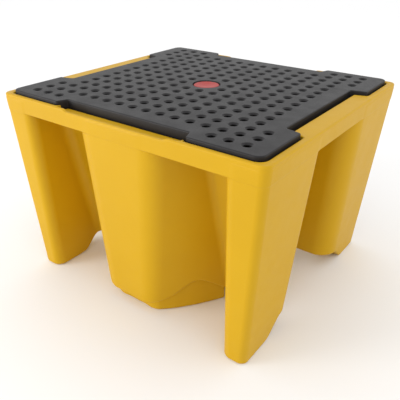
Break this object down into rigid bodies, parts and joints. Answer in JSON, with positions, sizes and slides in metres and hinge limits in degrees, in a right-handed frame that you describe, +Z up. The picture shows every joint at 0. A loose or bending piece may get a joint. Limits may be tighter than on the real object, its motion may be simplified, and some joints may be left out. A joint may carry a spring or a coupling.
{
  "type": "spill containment pallet",
  "caption": "Square moulded sump on corner legs with fork recesses, a lift-off perforated deck for one bulk container and a round inspection plug.",
  "frame": {"origin": "centre of the bounding box's bottom, at floor level in the middle of the sump", "axes": "+Z up; front and back, with the middle feet, face -Y and +Y; the ends, with one recess each, face -X and +X"},
  "size_m": [1.399, 1.2894, 0.955],
  "materials": {
    "sump": "satin rotationally moulded polyethylene",
    "deck": "satin black moulded polyethylene",
    "inspection_plug": "semi-gloss red"
  },
  "bodies": {
    "sump": {"sump": "sump"},
    "deck": {"deck": "deck"},
    "plug": {"inspection_plug": "inspection_plug"}
  },
  "joints": [
    {"name": "deck_lift", "type": "slide", "parent": "sump", "child": "deck", "axis": [0, 0, 1], "range_m": [0, 0.3]},
    {"name": "plug_lift", "type": "slide", "parent": "deck", "child": "plug", "axis": [0, 0, 1], "range_m": [0, 0.12]}
  ]
}
